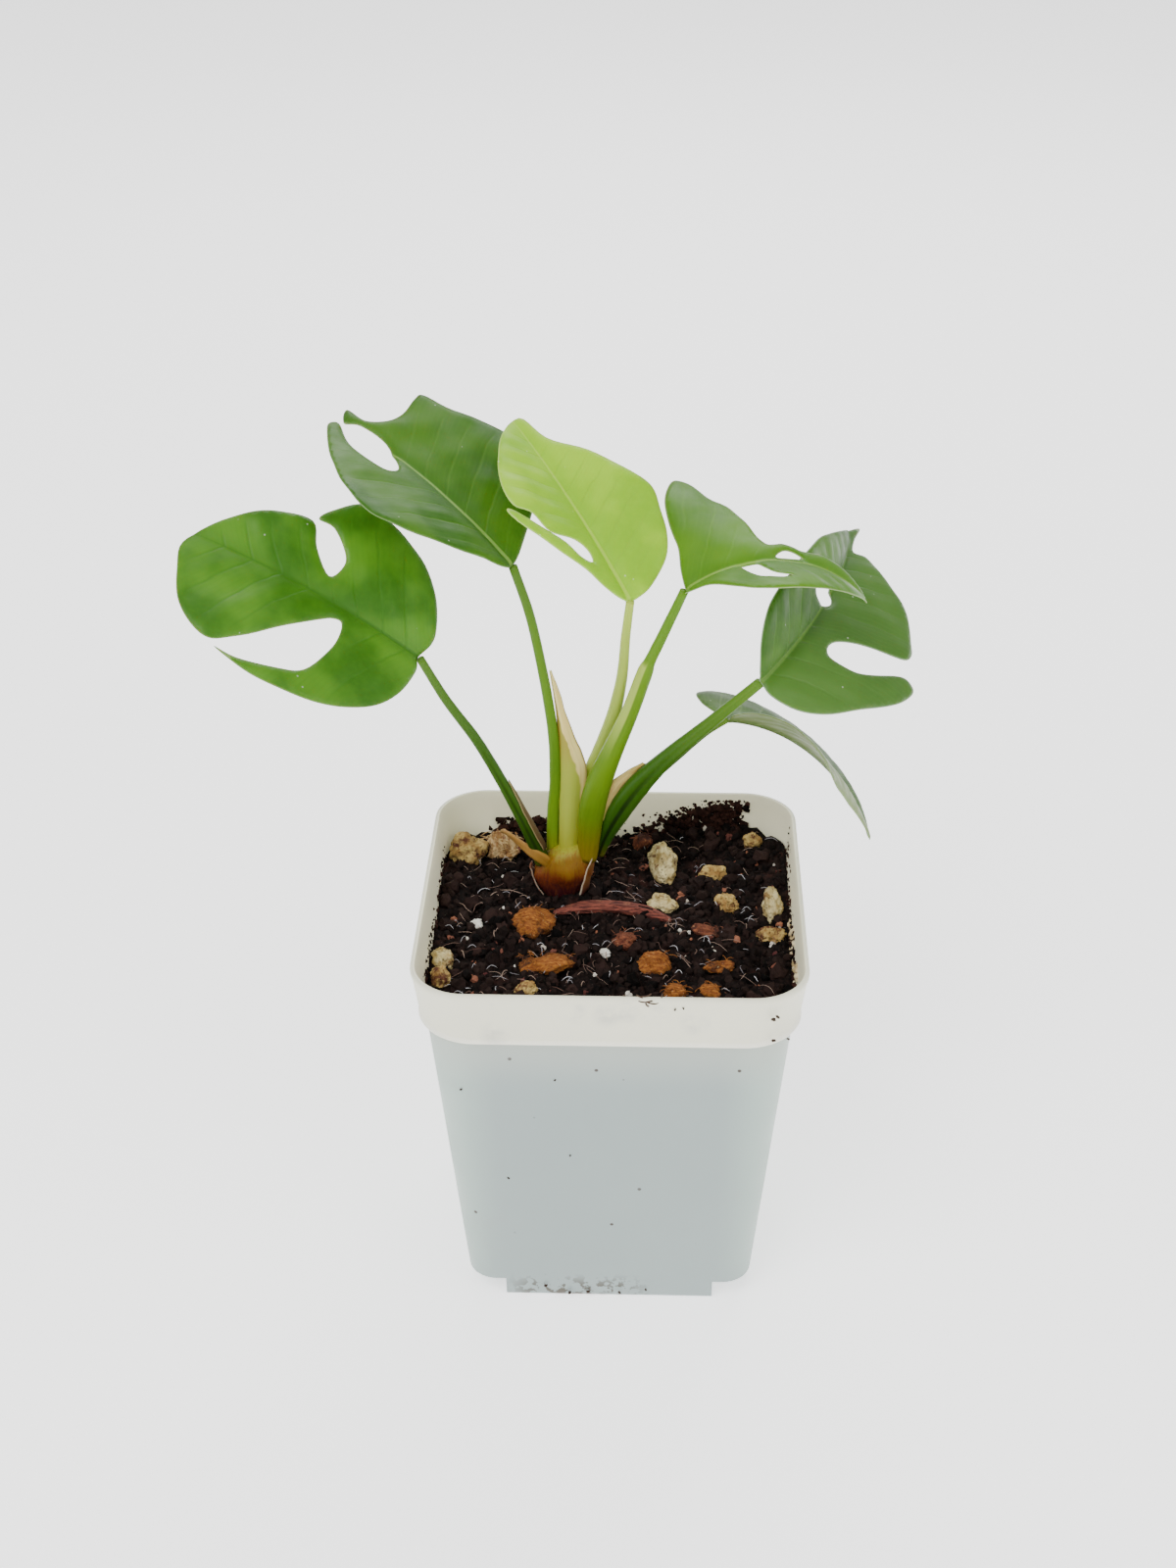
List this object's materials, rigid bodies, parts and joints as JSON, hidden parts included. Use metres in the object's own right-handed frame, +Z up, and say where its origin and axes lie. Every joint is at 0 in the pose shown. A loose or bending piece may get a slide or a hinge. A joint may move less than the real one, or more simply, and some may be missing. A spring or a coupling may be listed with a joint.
{
  "type": "potted young aroid houseplant",
  "caption": "Young fenestrated aroid with slit and holed leaves on slender stalks, planted in a square translucent nursery pot with a rim band and corner drain notches.",
  "frame": {"origin": "centre of the underside of the pot", "axes": "+Z up, X and Y square to the pot walls, -Y towards the viewer of the picture"},
  "size_m": [0.1302, 0.0926, 0.1564],
  "materials": {
    "milky_plastic": "translucent milky nursery pot",
    "peat": "damp loose peat",
    "pumice": "dull, pitted",
    "perlite": "dull, pitted",
    "bark": "dull, fibrous",
    "red_bark": "dull, fibrous",
    "stalk": "satin plant skin",
    "crown_skin": "satin plant skin",
    "papery_sheath": "dry and papery",
    "dark_leaf": "satin leaf",
    "mid_leaf": "satin leaf",
    "pale_leaf": "satin leaf"
  },
  "bodies": {
    "root": {"bark_chip_1": "bark", "bark_chip_2": "bark", "bark_chip_3": "bark", "bark_chip_4": "bark", "bark_chip_5": "bark", "bark_chip_6": "bark", "bark_chip_7": "bark", "bark_chip_8": "bark", "bark_chip_9": "bark", "blade_1": "dark_leaf", "blade_2": "dark_leaf", "blade_3": "pale_leaf", "blade_4": "mid_leaf", "blade_5": "dark_leaf", "blade_6": "dark_leaf", "crown": "crown_skin", "dry_husk": "papery_sheath", "dry_stub": "papery_sheath", "long_bark_strip": "red_bark", "perlite_1": "perlite", "perlite_2": "perlite", "petiole_1": "stalk", "petiole_2": "stalk", "petiole_3": "stalk", "petiole_4": "stalk", "petiole_5": "stalk", "petiole_6": "stalk", "pot": "milky_plastic", "pumice_1": "pumice", "pumice_10": "pumice", "pumice_11": "pumice", "pumice_12": "pumice", "pumice_3": "pumice", "pumice_4": "pumice", "pumice_5": "pumice", "pumice_6": "pumice", "pumice_7": "pumice", "pumice_8": "pumice", "pumice_9": "pumice", "scale_left": "papery_sheath", "scale_right": "papery_sheath", "sheath_1": "papery_sheath", "sheath_2": "papery_sheath", "sheath_5": "papery_sheath", "soil": "peat"}
  },
  "joints": []
}
